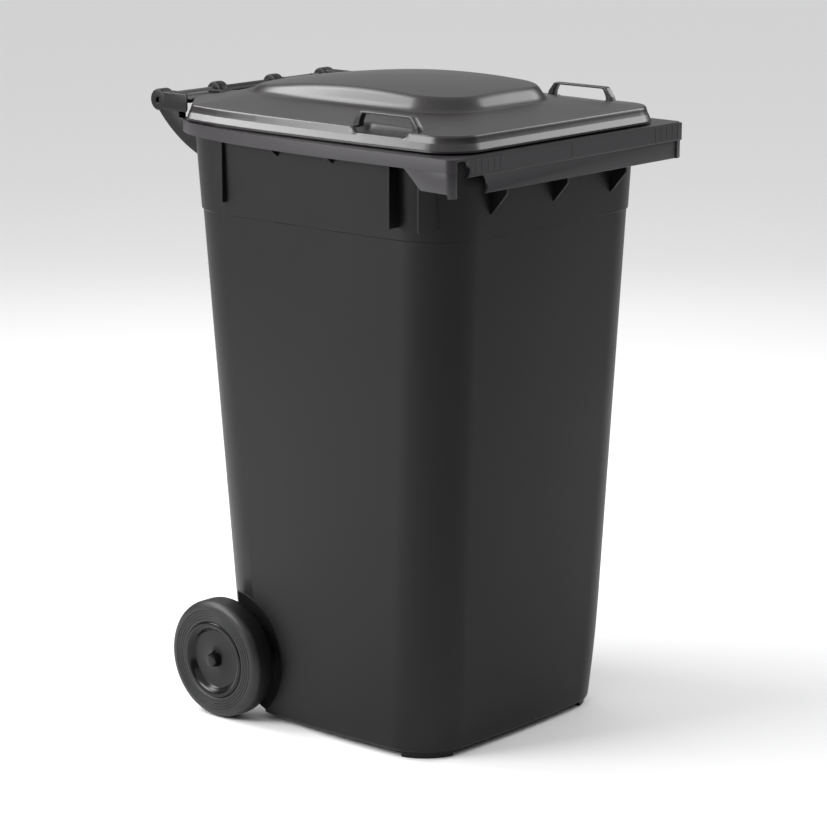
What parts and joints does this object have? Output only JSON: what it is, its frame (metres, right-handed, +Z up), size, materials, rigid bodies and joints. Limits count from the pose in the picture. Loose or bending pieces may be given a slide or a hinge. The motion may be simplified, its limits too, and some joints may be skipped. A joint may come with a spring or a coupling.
{
  "type": "wheelie bin",
  "caption": "Tall tapered plastic waste bin with a hinged raised-panel lid, front lifting comb, rear pull handle and rear wheels on a steel axle.",
  "frame": {"origin": "on the floor under the middle of the bin's bounding box", "axes": "+Z up, -Y towards the front with the lifting comb, +X to the right when looking from the front"},
  "size_m": [0.588, 0.725, 1.066],
  "materials": {
    "body": "moulded high-density polyethylene, fine satin grain, anthracite",
    "lid": "moulded high-density polyethylene, semi-gloss, anthracite",
    "hinge_pin": "moulded polyamide",
    "axle": "zinc-plated steel bar",
    "washer": "moulded polypropylene",
    "wheel_hub": "moulded polypropylene, satin black",
    "tyre": "solid rubber",
    "latch_pin": "turned steel",
    "latch_spring": "spring wire",
    "latch_plug": "moulded polypropylene"
  },
  "bodies": {
    "bin": {"tub": "body", "lifting_rim": "body", "rear_handle": "body", "hinge_pin_left": "hinge_pin", "hinge_pin_right": "hinge_pin", "axle": "axle", "axle_washer_left": "washer", "axle_washer_right": "washer"},
    "lid": {"lid": "lid", "lid_grab_left": "lid", "lid_grab_right": "lid"},
    "wheel_left": {"wheel_hub_left": "wheel_hub", "tyre_left": "tyre", "latch_plug_left": "latch_plug", "latch_spring_left": "latch_spring"},
    "wheel_right": {"wheel_hub_right": "wheel_hub", "tyre_right": "tyre", "latch_plug_right": "latch_plug", "latch_spring_right": "latch_spring"},
    "latch_left": {"latch_pin_left": "latch_pin"},
    "latch_right": {"latch_pin_right": "latch_pin"}
  },
  "joints": [
    {"name": "lid_hinge", "type": "hinge", "parent": "bin", "child": "lid", "pos_m": [0, 0.3445, 1.014], "axis": [-1, 0, 0], "range_deg": [0, 270]},
    {"name": "wheel_spin_left", "type": "hinge", "parent": "bin", "child": "wheel_left", "pos_m": [-0.259, 0.1625, 0.1], "axis": [1, 0, 0], "continuous": true},
    {"name": "wheel_spin_right", "type": "hinge", "parent": "bin", "child": "wheel_right", "pos_m": [0.259, 0.1625, 0.1], "axis": [1, 0, 0], "continuous": true},
    {"name": "latch_slide_left", "type": "slide", "parent": "wheel_left", "child": "latch_left", "axis": [0, 0, 1], "range_m": [0, 0.0024], "stiffness_N_per_m": 300, "springref_m": -0.003, "deforming": ["latch_spring_left"]},
    {"name": "latch_slide_right", "type": "slide", "parent": "wheel_right", "child": "latch_right", "axis": [0, 0, 1], "range_m": [0, 0.0024], "stiffness_N_per_m": 300, "springref_m": -0.003, "deforming": ["latch_spring_right"]}
  ]
}
